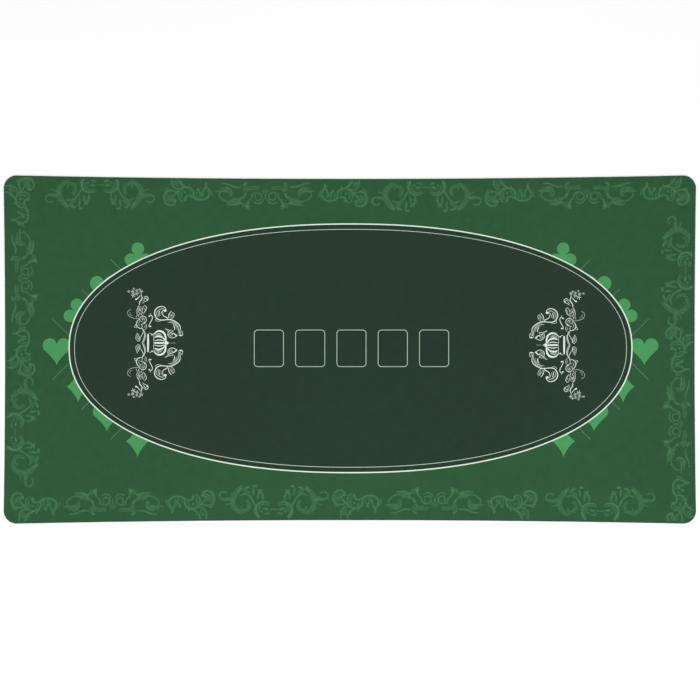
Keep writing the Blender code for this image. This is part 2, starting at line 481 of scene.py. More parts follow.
def crest_scroll():
    """The acanthus scroll beside the crown: a wound volute, a double-lined arm that bends back
    towards the crown, a leaf ball at the arm's end, and leaves on its outer side.
    """
    wind = [50 + 60.6j, 41 + 59.6j, 33 + 59.6j, 26.6 + 61.2j, 21.6 + 65.6j, 18.2 + 72j, 17.2 + 79.4j]
    wind += [20 + 86.8j, 26 + 92.4j, 34 + 94.8j, 42 + 93.4j, 46.4 + 88.6j, 45 + 83.6j]
    marks = [
        pen(wind, 2.6, 4.4, 1.6), disc(44.6 + 84j, 3.9),
        pen([22 + 64j, 19.6 + 59.6j, 25 + 56.4j, 31 + 56.8j, 35 + 58.6j], 1, 1.3, 0.6),
        pen([26.6 + 67j, 22.6 + 73j, 22.4 + 80j, 25.6 + 85j], 0.6, 1.8, 0.6),
        pen([29 + 69j, 28.4 + 76j, 31 + 84j], 1.4, 4.2, 1.0),
        pen([25.4 + 80j, 29.6 + 86j, 36 + 88.6j, 42.4 + 88j], 0.7, 2.0, 1.2),
        pen([33.4 + 71j, 34.6 + 78j, 38.6 + 83.4j, 44 + 84j], 0.8, 1.8, 2.6),
        pen([52 + 63.6j, 46 + 67.4j, 40.6 + 70.4j, 38.2 + 75j, 39.4 + 80j], 3.0, 2.4, 1.2),
    ]
    arm = [49 + 60.4j, 58 + 60.8j, 66 + 58j, 74.6 + 53j, 80.8 + 47.6j, 84 + 41j, 83.6 + 32.6j]
    arm += [81.2 + 23j]
    marks += [pen(arm, 3.4, 3.6, 1.4)]
    inner_arm = [51.6 + 53.8j, 62 + 52.6j, 71.6 + 47.6j, 78 + 40.4j, 80 + 33j, 79.2 + 25j]
    marks += [
        pen(inner_arm, 0.8, 2.8, 0.9),
        pen([56 + 57j, 66 + 54.6j, 74 + 49.4j, 80.4 + 42j], 0.6, 1.5, 0.6),
        pen([66 + 46j, 69.2 + 40j, 69 + 33.4j], 1.4, 4.8, 1.2),
        pen([62 + 49.6j, 69 + 46j, 74.4 + 40j, 76 + 33j], 0.5, 1.4, 0.5),
    ]
    ball = [66 + 32j, 60 + 33.4j, 54.6 + 31j, 51.8 + 25j, 53.4 + 18j, 59.4 + 13.6j, 67 + 13.6j]
    ball += [74.4 + 17.6j]
    marks += [
        pen(ball, 1.0, 2.2, 2.0), pen([76 + 18j, 72 + 21j, 66.4 + 26j], 2.4, 6.4, 1.8),
        pen([57 + 28.4j, 55.6 + 22.4j, 59 + 18j, 64 + 18.4j], 0.7, 1.8, 0.8),
        pen([61.6 + 29.6j, 59.8 + 24.6j, 62.4 + 21.8j, 65.6 + 23j], 0.7, 1.8, 1.2),
        pen([56 + 31j, 58.6 + 27j, 62 + 28.6j, 66 + 30j], 0.8, 2.2, 0.8), disc(64.4 + 24.6j, 1.6),
        pen([43.6 + 37j, 49.6 + 35.4j, 57.6 + 32.4j], 0.8, 2.4, 0.8),
        pen([45.4 + 38.6j, 51 + 31.8j, 55.4 + 29j], 0.7, 1.6, 0.7),
        pen([79.4 + 22j, 83.4 + 19j, 89 + 19.2j, 90.2 + 25j, 88.4 + 32j], 1.6, 3.0, 0.7),
        pen([83 + 23.6j, 86 + 27j, 88.6 + 31.6j], 1.0, 1.8, 0.6), disc(85.6 + 20.4j, 2.0),
        pen([53 + 64.6j, 54 + 72j, 57.6 + 79j, 61.4 + 83.6j], 1.4, 4.0, 0.8),
        pen([57 + 63.6j, 57.8 + 69j, 60.6 + 74.6j], 0.6, 1.6, 0.5),
    ]
    leaf_edge = [60 + 62.4j, 64.6 + 65j, 67.4 + 69.6j, 68.8 + 74.6j, 64.4 + 79j, 61.8 + 73j, 61.6 + 66j]
    marks += [pen(leaf_edge, 1.0, 1.8, 0.8), pen([63.6 + 66.6j, 64.8 + 71j, 64.8 + 76j], 0.5, 1.3, 0.5)]
    return marks


def crest_bracket():
    """The small hooked flourish between the crown and the band, with a ball at either end."""
    line = [6.4 + 43j, 3.4 + 41.6j, 2.8 + 45.6j, 5.6 + 51.8j, 9.4 + 59j, 11.8 + 65.4j, 10 + 70.6j]
    line += [6 + 72.4j, 3.4 + 69.6j]
    marks = [pen(line, 1.4, 3.2, 1.4), disc(6.8 + 43.4j, 2.3), disc(3.4 + 69.4j, 2.2)]
    return [*marks, pen([8.4 + 71.4j, 7 + 74j, 6.4 + 78j], 1.8, 1.6, 0.4)]


def crest_band():
    """Half of the upright band behind the crown: from the middle out a waved double stem, a side
    bud, a rosette scroll, a knot of leaves with a thin loop beside it, a stalk with a curl, and a
    spray of small flowers.
    """
    stem = [-15 + 0j, -11.4 + 8j, -8.8 + 16.6j, -8 + 24.4j, -10.8 + 32j, -16 + 38j]
    marks = [
        pen(stem, 1.8, 2.8, 1.6), pen([-12 + 0j, -8.4 + 8j, -6 + 16.6j, -5.4 + 26j], 0.6, 1.5, 0.6),
        pen([-20 + 13j, -15.4 + 21.4j, -12 + 29.4j, -14.4 + 38j], 0.8, 2.4, 1.2),
        pen([-27 + 4.4j, -21.6 + 6.2j, -20.8 + 12j, -24.4 + 19.4j, -28 + 27j], 1.0, 3.0, 0.7),
        pen([-25 + 3.8j, -31 + 9.6j, -30.4 + 19j, -27.6 + 25.6j], 0.8, 1.8, 0.6),
        pen([-26 + 9j, -27.4 + 14j, -26.6 + 20j], 0.6, 1.8, 0.6), disc(-24.4 + 10.4j, 1.5),
    ]
    rosette_stem = [-16 + 38j, -22 + 38.4j, -28 + 42.8j, -30.2 + 49j, -27.6 + 56.6j, -22.4 + 63j]
    marks += [
        pen(rosette_stem, 1.4, 4.0, 1.4),
        pen([-35.6 + 41j, -33.6 + 44.6j, -29.8 + 48j], 0.6, 2.0, 1.0),
        pen([-36 + 41j, -29.6 + 39.6j], 0.6, 1.6, 0.8),
    ]
    rosette = [-19 + 48j, -13 + 49.4j, -7.4 + 52.6j, -4.2 + 58.8j, -5.6 + 66j, -11.6 + 69.4j, -18 + 68j]
    rosette += [-21.4 + 62.4j, -19.4 + 56.8j, -14.4 + 55.6j]
    marks += [
        pen(rosette, 0.9, 2.6, 0.9), pen([-12.6 + 50j, -9.6 + 52j, -7.6 + 55j], 1.8, 4.4, 1.2),
        pen([-9.6 + 58j, -9.6 + 63j, -13.4 + 65.4j, -16.6 + 62.6j], 0.7, 1.8, 0.9),
        disc(-14 + 60.4j, 1.5), pen([-15.6 + 38j, -14.6 + 43j, -17.6 + 48.4j], 0.9, 1.9, 0.7),
        pen([-22 + 44j, -24 + 50.4j, -21.6 + 56j], 0.6, 1.7, 0.6),
        pen([-9 + 34.6j, -5 + 38j, -3.4 + 45j, -6 + 50.4j], 0.6, 1.6, 0.6),
        pen([-10 + 40.4j, -7.4 + 42.4j, -8 + 47.4j], 0.5, 1.4, 0.5),
    ]
    loop = [-23 + 64j, -32 + 63.6j, -40 + 65.2j, -48 + 69j, -52.8 + 76.4j, -51 + 84j, -44.4 + 87.4j]
    marks += [
        pen(loop, 0.7, 1.0, 0.6), pen([-40 + 70j, -46 + 73.6j, -46.6 + 80j], 0.4, 0.9, 0.4),
        pen([-30.6 + 66j, -28 + 74j, -28.6 + 83j, -26.4 + 92j, -22.6 + 98j], 0.8, 1.8, 0.8),
        pen([-22 + 66j, -25 + 71.6j, -20.6 + 76j, -24.6 + 82j, -20.4 + 88.4j], 0.7, 2.0, 0.7),
        pen([-12 + 70j, -17.4 + 74.4j, -13.8 + 79.6j, -18.6 + 84.6j, -15.4 + 91j], 0.8, 1.9, 0.7),
        ring(-23 + 87.4j, 2.7, 1.1), pen([-28 + 90j, -23.6 + 94j, -18 + 93j], 0.6, 1.6, 0.6),
        pen([-13 + 76j, -9.6 + 79j, -5.6 + 85.4j, -4.2 + 93j, -9 + 98j], 0.9, 3.0, 0.9),
        pen([-14.6 + 83j, -13.6 + 90j, -9.6 + 97j], 0.7, 1.8, 0.7),
        pen([-8.6 + 84j, -8.6 + 91j], 0.5, 1.3, 0.5),
    ]
    stalk = [-22 + 99j, -21.4 + 106.4j, -17.6 + 111.6j, -15 + 117j, -17 + 123j, -18.6 + 129j]
    marks += [pen(stalk, 2.2, 4.2, 1.2)]
    curl_line = [-15 + 103j, -8.4 + 107.6j, -1 + 111.2j, 0.6 + 116.8j, -4 + 121j, -9 + 119j]
    curl_line += [-8.4 + 114.6j]
    marks += [
        pen(curl_line, 1.0, 2.6, 1.0), disc(-1.8 + 113j, 2.2), disc(-6 + 116.4j, 1.4),
        pen([-14 + 107.6j, -9.6 + 112.6j, -11.6 + 118j], 0.6, 1.6, 0.6),
        pen([-32 + 112j, -26 + 116.6j, -20 + 123.6j], 2.4, 3.4, 1.0), disc(-30.6 + 113.6j, 2.6),
    ]
    for centre, size, turn in (
        (-38 + 124j, 7.0, 0.5),
        (-28.6 + 128j, 5.6, 0.1),
        (-17.4 + 134j, 6.0, 0.9),
        (-40 + 133j, 5.4, 0.3),
        (-50 + 134j, 4.2, 0.7),
        (-29 + 136j, 4.6, 0.6),
        (-22 + 139j, 3.6, 0.2),
        (-36.6 + 140.6j, 3.6, 0.9),
    ):
        marks += flower(centre, size, turn)
    return marks


def flower(centre, size, turn):
    """Five small petals round an eye."""
    marks = [disc(centre, size * 0.2)]
    for heading in math.degrees(turn) + 72 * np.arange(5):
        root = centre + size * 0.2 * np.exp(1j * np.radians(heading))
        marks.append(petal(root, heading, size * 0.72, size * 0.52, 30, 8))
    return marks


def crest():
    """The whole crest, alike on both sides of the crown's axis."""
    half = thinner(crest_scroll() + crest_bracket(), 0.74) + thinner(crest_band(), 0.72)
    return half + flipped(half) + crown()


def crest_shade():
    """The dim ink that fills the crest's leaves, under its white lines: a margin round the band and
    the scroll's ball, and broad strokes where the leaves lie thickest.
    """
    half = [
        *margined(crest_band(), 0.9), pen([-26 + 78j, -19 + 86j, -13 + 95j], 8, 18, 6),
        pen([-14 + 50j, -10 + 58j, -13 + 68j], 6, 15, 6),
        pen([-27 + 8j, -26 + 16j, -24 + 24j], 3, 7, 3),
        pen([-40 + 126j, -28 + 132j, -18 + 136j], 8, 15, 5),
        pen([56 + 18j, 58 + 26j, 66 + 29j], 5, 10, 4), pen([22 + 72j, 27 + 86j, 38 + 88j], 3, 9, 3),
    ]
    return half + flipped(half)


# ---------------------------------------------------------------- suits

HEART_WIDTH = 73.0
HEART_HOLLOW = 0.2
DIAMOND_HALF = (30.5, 42.0)
DIAMOND_POWER = 0.78
CLUB_LOBE_RADIUS = 16.3
CLUB_LOBES = (19j, 18.2 - 9.5j, -18.2 - 9.5j)
CLUB_MIDDLE_RADIUS = 11.0


def heart_outline(width, stations=60):
    """The classic heart: x as the cube of a sine and y as a sum of four cosines, to a width. Its
    flanks are drawn in a little, by a sine of the way from its waist down to its tip.
    """
    t = np.linspace(0, 2 * math.pi, stations, endpoint=False)
    y = 13 * np.cos(t) - 5 * np.cos(2 * t) - 2 * np.cos(3 * t) - np.cos(4 * t)
    x = 16 * np.sin(t) ** 3 * (1 - HEART_HOLLOW * np.sin(math.pi * np.clip(-y / 17, 0, 1)))
    return (x + 1.08j * (y + 2.6)) * width / 32


def circle_outline(centre, radius, stations=32):
    """A circle."""
    t = np.linspace(0, 2 * math.pi, stations, endpoint=False)
    return centre + radius * np.exp(1j * t)


def superellipse(half_x, half_y, power, stations):
    """The loop on which |x| and |y|, each over its half size and raised to power, add up to one. Its
    stations are even in the angle of the parameter form.
    """
    t = np.linspace(0, 2 * math.pi, stations, endpoint=False)
    x = np.sign(np.cos(t)) * np.abs(np.cos(t)) ** (2 / power) * half_x
    y = np.sign(np.sin(t)) * np.abs(np.sin(t)) ** (2 / power) * half_y
    return x + 1j * y


def heart(centre):
    """A heart."""
    return [heart_outline(HEART_WIDTH) + centre]


def diamond(centre):
    """A diamond with slightly hollow sides."""
    return [superellipse(*DIAMOND_HALF, DIAMOND_POWER, 64) + centre]


def club(centre):
    """A club: three round lobes and a flared stalk."""
    lobes = [circle_outline(centre + spot, CLUB_LOBE_RADIUS) for spot in CLUB_LOBES]
    middle = circle_outline(centre - 3j, CLUB_MIDDLE_RADIUS)
    left, right = stroke(np.linspace(0, -36, 10) * 1j + centre, 7.0, 5.0, 22.0)
    return [*lobes, middle, np.concatenate([left, right[::-1]])]


# The suits on one side, as they stand round the oval's end from the print's centre
SUITS = (
    (heart, 764, -9.5),
    (club, 711.5, 94),
    (diamond, 708.5, -99.5),
    (heart, 641.5, 152.5),
    (heart, 633.5, -180.5),
    (club, 553, 240),
    (diamond, 554, -241.5),
)


# ---------------------------------------------------------------- surfaces


def make_piece(name, points, faces, material, smooth=False):
    """An object at the origin whose mesh has these points and faces."""
    mesh = bpy.data.meshes.new(name)
    mesh.from_pydata(np.asarray(points).tolist(), [], faces)
    mesh.materials.append(material)
    mesh.polygons.foreach_set("use_smooth", np.full(len(mesh.polygons), smooth))
    mesh.update()
    piece = bpy.data.objects.new(name, mesh)
    bpy.context.scene.collection.objects.link(piece)
    return piece


def on_mat(piece):
    """The piece lies still with the mat."""
    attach(piece, "root")
    return piece


def grid_faces(rows, columns):
    """Quads between neighbouring rows of a grid of points whose columns run round and close."""
    number = np.arange(rows * columns).reshape(rows, columns)
    after = np.roll(number, -1, axis=1)
    quads = np.stack([number[:-1], after[:-1], after[1:], number[1:]], axis=-1)
    return quads.reshape(-1, 4)


def stack_levels(marks):
    """A level for each stroke: the lowest that no earlier stroke has whose bounding box meets its
    own, so that strokes that cross never share a plane.
    """
    outlines = [np.concatenate(pair) for pair in marks]
    low = np.array([(z.real.min(), z.imag.min()) for z in outlines])
    high = np.array([(z.real.max(), z.imag.max()) for z in outlines])
    levels = np.zeros(len(marks), int)
    for number in range(1, len(marks)):
        meets = (low[:number] < high[number]).all(axis=1) & (high[:number] > low[number]).all(axis=1)
        taken = np.zeros(len(marks) + 1, bool)
        taken[levels[:number][meets]] = True
        levels[number] = np.argmin(taken)
    return levels


def box_section(left, right, top):
    """The four corners, in metres, of a flat box section at each station between two edges."""
    spots = np.stack([left, left, right, right], axis=1)
    heights = np.broadcast_to([INK_BASE, top, top, INK_BASE], spots.shape)
    return np.stack([spots.real * MM, spots.imag * MM, heights], axis=-1).reshape(-1, 3)


def stack_height(top, level):
    """The height of a level of the stack under an ink's top."""
    return top - (STACK_SIZE - level) * STACK_STEP


def ink_film(name, marks, top, material):
    """A thin film for many strokes. Each stroke's section is a flat box between its two edges, and
    strokes that cross differ a little in height, so that no two faces share a plane. The edges swap
    where the left one lies to the right of the way ahead, so that the faces point outwards.
    """
    points, faces, used = [], [], 0
    for level, (left, right) in zip(stack_levels(marks), marks):
        left, right = uncrossed(left, right)
        ahead = np.gradient((left + right) / 2)
        if ((left - right) * ahead.conj()).imag.sum() < 0:
            left, right = right, left
        points.append(box_section(left, right, stack_height(top, level)))
        count = len(left)
        last = 4 * (count - 1)
        caps = np.array([[3, 2, 1, 0], [last, last + 1, last + 2, last + 3]])
        faces.append(np.concatenate([grid_faces(count, 4), caps]) + used)
        used += 4 * count
    film = make_piece(name, np.concatenate(points), np.concatenate(faces).tolist(), material)
    return on_mat(film)


def loop_film(name, inner, outer, material):
    """A thin closed line at the mat's top: a flat box section carried round between two loops."""
    count = len(inner)
    number = np.arange(count * 4).reshape(count, 4)
    after = np.roll(number, -1, axis=0)
    quads = np.stack([number, np.roll(number, -1, 1), np.roll(after, -1, 1), after], axis=-1)
    faces = quads.reshape(-1, 4).tolist()
    film = make_piece(name, box_section(inner, outer, TOP), faces, material)
    return on_mat(film)


def patch_film(name, outlines, top, material):
    """Flat plates with these outlines, each a little higher than the last. An outline that runs
    clockwise, so that its shoelace sum is negative, is turned round first.
    """
    points, faces, used = [], [], 0
    for number, outline in enumerate(outlines):
        if (outline.conj() * np.roll(outline, -1)).imag.sum() < 0:
            outline = outline[::-1]
        count = len(outline)
        for height in (INK_BASE, stack_height(top, number % STACK_SIZE)):
            level = np.full(count, height)
            points.append(np.stack([outline.real * MM, outline.imag * MM, level], axis=-1))
        low = np.arange(count) + used
        high = low + count
        walls = np.stack([low, np.roll(low, -1), np.roll(high, -1), high], axis=-1)
        faces += walls.tolist() + [low[::-1].tolist(), high.tolist()]
        used += 2 * count
    return on_mat(make_piece(name, np.concatenate(points), faces, material))


def oval_outline(drawn_in):
    """The betting oval, with both of its half sizes smaller by drawn_in."""
    half_x, half_y = OVAL_HALF
    return superellipse(half_x - drawn_in, half_y - drawn_in, OVAL_POWER, 720) + PRINT_CENTRE


def rounded_box(width, height, radius, corner_steps=9):
    """A rectangle with round corners, counter-clockwise."""
    quarter = radius * np.exp(1j * np.linspace(0, math.pi / 2, corner_steps))
    corner = complex(width / 2 - radius, height / 2 - radius)
    spots = [corner, -corner.conjugate(), -corner, corner.conjugate()]
    return np.concatenate([spot + quarter * 1j**number for number, spot in enumerate(spots)])


def edge_bow(box_high, axis):
    """How far the middle of an edge of the cloth's solid lies inside that edge's ends."""
    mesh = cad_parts["printed_cloth"].data
    spots = np.empty(len(mesh.vertices) * 3)
    mesh.vertices.foreach_get("co", spots)
    spots = spots.reshape(-1, 3)
    middle = np.abs(spots[:, 1 - axis]) < 40 * MM
    return box_high[axis] - spots[middle, axis].max()


LONG_BOW = edge_bow(CLOTH_HIGH, 1)
SHORT_BOW = edge_bow(CLOTH_HIGH, 0)


def mat_outline(inset, long_steps=420, short_steps=210, corner_steps=24):
    """The mat's outline, drawn in by inset metres, counter-clockwise: four edges that each bow in as
    a parabola, and four quarter circles.
    """
    half_x, half_y = HALF_LENGTH - inset, HALF_WIDTH - inset
    radius = CORNER_RADIUS - inset
    runs = (
        (1j, half_y - radius, half_x, SHORT_BOW, short_steps),
        (-1, half_x - radius, half_y, LONG_BOW, long_steps),
        (-1j, half_y - radius, half_x, SHORT_BOW, short_steps),
        (1, half_x - radius, half_y, LONG_BOW, long_steps),
    )
    path = []
    for ahead, run, reach, bow, steps in runs:
        way = np.linspace(-1, 1, steps, endpoint=False)
        outward = ahead * -1j
        path.append(ahead * run * way + outward * (reach - bow * (1 - way**2)))
        angle = np.linspace(0, math.pi / 2, corner_steps, endpoint=False)
        centre = ahead * run + outward * (reach - radius)
        path.append(centre + radius * outward * np.exp(1j * angle))
    return np.concatenate(path)


def waver(count, waves, seed):
    """A smooth closed wander of about one unit: a sum of sines round the loop with random phases."""
    rng = np.random.default_rng(seed)
    t = np.linspace(0, 2 * math.pi, count, endpoint=False)
    total = np.zeros(count)
    for wave in waves:
        total += np.sin(wave * t + rng.uniform(0, 2 * math.pi))
    return total / math.sqrt(len(waves))


def swept_sheet(name, profile, material, wander):
    """A closed sheet whose section is carried round the mat's outline. The profile lists (inset,
    height), both in metres, from the middle of the underside out to the edge and back to the middle
    of the top; past its first and last point the surface closes to the middle.
    """
    rings, base = [], mat_outline(0.0)
    for inset, height in profile:
        loop = mat_outline(inset)
        fade = math.exp(-inset / WANDER_FADE)
        sideways = 1j * np.roll(base, -1) - 1j * np.roll(base, 1)
        loop = loop + sideways / np.abs(sideways) * wander * fade
        rings.append(np.stack([loop.real, loop.imag, np.full(len(loop), height)], axis=-1))
    return close_rings(name, rings, material)


def close_rings(name, rings, material):
    """A closed surface through rings of points, each end shrunk in steps to a single middle point."""
    shrink = (0.8, 0.55, 0.3, 0.1)
    start = [rings[0] * (share, share, 1) for share in shrink[::-1]]
    end = [rings[-1] * (share, share, 1) for share in shrink]
    stack = np.stack(start + rings + end)
    rows, columns = stack.shape[:2]
    quads = grid_faces(rows, columns)
    middles = [[0, 0, rings[0][0, 2]], [0, 0, rings[-1][0, 2]]]
    points = np.concatenate([stack.reshape(-1, 3), middles])
    first = np.arange(columns)
    last = first + (rows - 1) * columns
    low_middle, high_middle = rows * columns, rows * columns + 1
    low_fan = np.stack([np.full(columns, low_middle), np.roll(first, -1), first], axis=-1)
    high_fan = np.stack([np.full(columns, high_middle), last, np.roll(last, -1)], axis=-1)
    faces = quads.tolist() + low_fan.tolist() + high_fan.tolist()
    return make_piece(name, points, faces, material, smooth=True)


# ---------------------------------------------------------------- finishes


class Value:
    """A number that varies over a surface. Arithmetic on it adds Math nodes."""

    def __init__(self, finish, socket):
        self.finish = finish
        self.socket = socket

    def math(self, operation, *others):
        inputs = dict(enumerate((self, *others)))
        node = self.finish.node("ShaderNodeMath", {"operation": operation}, inputs)
        return Value(self.finish, node.outputs[0])

    def __add__(self, other):
        return self.math("ADD", other)

    def __radd__(self, other):
        return self.math("ADD", other)

    def __sub__(self, other):
        return self.math("SUBTRACT", other)

    def __rsub__(self, other):
        return self.finish.number(other).math("SUBTRACT", self)

    def __mul__(self, other):
        return self.math("MULTIPLY", other)

    def __rmul__(self, other):
        return self.math("MULTIPLY", other)

    def __truediv__(self, other):
        return self.math("DIVIDE", other)


class Finish:
    """One material: its node tree and the Principled shader that it ends in."""

    def __init__(self, name, roughness, specular, sheen=0.0):
        self.material = bpy.data.materials.new(name)
        self.material.use_nodes = True
        self.tree = self.material.node_tree
        self.shader = self.tree.nodes["Principled BSDF"]
        self.shader.inputs["Roughness"].default_value = roughness
        self.shader.inputs["Specular IOR Level"].default_value = specular
        self.shader.inputs["Sheen Weight"].default_value = sheen
        self.shader.inputs["Sheen Roughness"].default_value = 0.5
        self.position = self.node("ShaderNodeTexCoord").outputs["Object"]
        parts = self.node("ShaderNodeSeparateXYZ", {}, {0: self.position})
        self.x, self.y = Value(self, parts.outputs[0]), Value(self, parts.outputs[1])

    def node(self, kind, settings=None, inputs=None):
        """A new node: its settings are made first, then its sockets get values or links."""
        node = self.tree.nodes.new(kind)
        for key, setting in (settings or {}).items():
            setattr(node, key, setting)
        for key, source in (inputs or {}).items():
            socket = source.socket if isinstance(source, Value) else source
            if isinstance(socket, bpy.types.NodeSocket):
                self.tree.links.new(socket, node.inputs[key])
            else:
                node.inputs[key].default_value = socket
        return node

    def number(self, amount):
        """A fixed number that an expression can start from."""
        node = self.node("ShaderNodeMath", {"operation": "ADD"}, {0: amount, 1: 0.0})
        return Value(self, node.outputs[0])

    def noise(self, scale, detail=2.0, roughness=0.5):
        """Soft noise between about 0.2 and 0.8, at scale lumps a metre."""
        inputs = {"Vector": self.position, "Scale": scale, "Detail": detail, "Roughness": roughness}
        node = self.node("ShaderNodeTexNoise", {}, inputs)
        return Value(self, node.outputs[0])

    def blend(self, share, one, other):
        """The colour a share of the way from one to the other."""
        node = self.node("ShaderNodeMix", {"data_type": "RGBA"}, {0: share, 6: one, 7: other})
        return node.outputs[2]

    def colour(self, source):
        """Send a colour to the shader."""
        self.tree.links.new(source, self.shader.inputs["Base Color"])

    def bump(self, height, depth):
        """Turn a height between 0 and 1 into relief of that depth in metres."""
        inputs = {"Height": height, "Distance": depth, "Strength": 1.0}
        node = self.node("ShaderNodeBump", {}, inputs)
        self.tree.links.new(node.outputs[0], self.shader.inputs["Normal"])


KNIT_PITCH = 1.1 * MM
KNIT_DEPTH = 0.17 * MM

# The print's unevenness: lumps a metre of each kind, and how strongly each changes the tone. The knit's
# tone is not the print's but painted shade: darker in the knit's valleys, lighter on its ridges
WIDE_LUMPS, CLOUD_LUMPS, YARN_LUMPS, SCREEN_LUMPS = 2.2, 42.0, 420.0, 260.0
CLOUD_TONE, YARN_TONE, KNIT_SHADE_TONE = 0.22, 0.25, 0.36

# The darkest and the lightest tone, as shares of an ink's colour
TONE_LOW, TONE_HIGH = 0.6, 1.4

# The rubber's cut cells, and the grid pressed into its underside
CELLS_PER_METRE = 1800.0
GRID_PITCH = 2.2 * MM
RUBBER_RELIEF = 0.15 * MM
GLUE_RELIEF = 0.02 * MM


def knit_height(finish):
    """The cloth's relief: ridges of stitches along x whose legs lean two ways in turn. It is a sine
    across the ridges times a sine along them that is shifted by half a stitch from row to row.
    """
    turns = 2 * math.pi / KNIT_PITCH
    across = (finish.y * turns).math("SINE")
    along = (finish.x * turns * 0.8 + across * 1.2).math("SINE")
    return across * 0.25 + along * 0.2 + 0.5


def printed(name, colour, spread=0.06, speckle=0.0):
    """Ink in knitted cloth: the colour, a wide slow change of tone over the mat, fine mottling where
    the yarn takes the dye unevenly, speckles where the print is screened, painted shade that darkens
    the knit's valleys and lightens its ridges, and the knit's relief.
    """
    finish = Finish(name, 0.82, 0.12, sheen=0.02)
    wide = finish.noise(WIDE_LUMPS, 1.0)
    cloudy = finish.noise(CLOUD_LUMPS)
    yarn = finish.noise(YARN_LUMPS, 2.0, 0.6)
    knit = knit_height(finish)
    tone = 1.0 + (wide - 0.5) * spread * 2 + (cloudy - 0.5) * CLOUD_TONE + (yarn - 0.5) * YARN_TONE
    # Painted shade: the colour follows the knit's height, darker in its valleys and lighter on its
    # ridges
    tone = tone + (knit - 0.5) * KNIT_SHADE_TONE
    if speckle:
        tone = tone + (finish.noise(SCREEN_LUMPS, 2.0, 0.7) - 0.5) * speckle
    dark, light = ((*(part * amount for part in colour), 1.0) for amount in (TONE_LOW, TONE_HIGH))
    finish.colour(finish.blend((tone - TONE_LOW) / (TONE_HIGH - TONE_LOW), dark, light))
    finish.bump(knit, KNIT_DEPTH)
    return finish.material


def foam_rubber():
    """Black foam rubber: a little dusty, with fine cut cells, and a grid pressed into its underside."""
    finish = Finish("foam_rubber", 0.88, 0.3)
    inputs = {"Vector": finish.position, "Scale": CELLS_PER_METRE}
    cells = finish.node("ShaderNodeTexVoronoi", {"feature": "F1"}, inputs)
    pores = Value(finish, cells.outputs["Distance"])
    dust = finish.noise(60.0, 3.0)
    finish.colour(finish.blend(dust, (0.012, 0.012, 0.013, 1.0), (0.035, 0.035, 0.034, 1.0)))
    turns = 2 * math.pi / GRID_PITCH
    grid = (finish.x * turns).math("SINE") * (finish.y * turns).math("SINE")
    finish.bump(grid * 0.35 + pores * 0.3 + 0.3, RUBBER_RELIEF)
    return finish.material


def glue():
    """Milky glue film with faint flow marks."""
    finish = Finish("glue_film", 0.45, 0.5)
    marks = finish.noise(90.0)
    finish.colour(finish.blend(marks, (0.68, 0.67, 0.62, 1.0), (0.80, 0.79, 0.75, 1.0)))
    finish.bump(marks, GLUE_RELIEF)
    return finish.material


def floor_paint():
    """Plain pale floor."""
    finish = Finish("pale_floor", 0.9, 0.1)
    shade = finish.noise(0.8, 1.0)
    finish.colour(finish.blend(shade, (0.90, 0.90, 0.90, 1.0), (0.94, 0.94, 0.94, 1.0)))
    return finish.material


# ---------------------------------------------------------------- the mat's pieces


def build_cloth():
    """The cloth: a thin sheet whose cut edge is pressed down a little."""
    bottom = CLOTH_LOW[2]
    inset = HALF_LENGTH - CLOTH_HIGH[0]
    profile = [(LAST_RING, bottom), (FIRST_RING, bottom), (inset + 0.2 * MM, bottom)]
    for drop, back in ((0.07, 0.0), (0.035, 0.06), (0.012, 0.3), (0.003, 0.9), (0.0, 2.0)):
        profile.append((inset + back * MM, CLOTH_TOP - drop * MM))
    profile += [(8 * MM, CLOTH_TOP), (16 * MM, CLOTH_TOP), (LAST_RING, CLOTH_TOP)]
    count = len(mat_outline(0.0))
    wander = waver(count, (37, 61, 113, 173), RNG_SEED) * CLOTH_WANDER
    cloth = swept_sheet("cloth_face", profile, printed("green_field_print", FIELD_GREEN), wander)
    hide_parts("printed_cloth")
    on_mat(cloth)


def build_rubber():
    """The rubber: rounded cut edges, and a shallow seat for the glue film inside its rim."""
    rise = CLOTH_LOW[2] - 0.01 * MM
    seat = FILM_LOW[2] - 0.01 * MM
    lip = HALF_LENGTH - FILM_HIGH[0]
    round_in = 0.7 * MM
    profile = [(LAST_RING, 0.0), (FIRST_RING, 0.0), (round_in, 0.0)]
    for step in range(1, 9):
        angle = math.pi * step / 9
        swell = math.sin(angle) ** 0.6
        profile.append((round_in * (1 - swell), rise * (1 - math.cos(angle)) / 2))
    profile += [(round_in, rise), (lip - 0.3 * MM, rise), (lip - 0.1 * MM, seat)]
    profile += [(FIRST_RING, seat), (LAST_RING, seat)]
    count = len(mat_outline(0.0))
    wander = (waver(count, (23, 47, 89), RNG_SEED + 1) - 1.6) * RUBBER_WANDER
    rubber = swept_sheet("rubber_foam", profile, foam_rubber(), wander)
    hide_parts("rubber_base")
    on_mat(rubber)


def dress_film():
    """The glue film keeps its solid and gets its finish."""
    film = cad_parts["adhesive_film"]
    film.data.materials.clear()
    film.data.materials.append(glue())


def inside_cloth(marks):
    """Only the stretches of the strokes that lie on the cloth."""
    half_x, half_y = CLOTH_HIGH[0] / MM - PRINT_MARGIN, CLOTH_HIGH[1] / MM - PRINT_MARGIN
    kept = []
    for left, right in marks:
        middle = (left + right) / 2
        reach = np.maximum(np.abs(left - middle), 0.2)
        limit_x = half_x - SHORT_BOW / MM * (1 - (middle.imag / half_y) ** 2) - reach
        limit_y = half_y - LONG_BOW / MM * (1 - (middle.real / half_x) ** 2) - reach
        free = (np.abs(middle.real) < limit_x) & (np.abs(middle.imag) < limit_y)
        breaks = np.flatnonzero(np.diff(free.astype(int))) + 1
        for run in np.split(np.arange(len(free)), breaks):
            if free[run[0]] and len(run) > 2:
                kept.append((left[run], right[run]))
    return kept


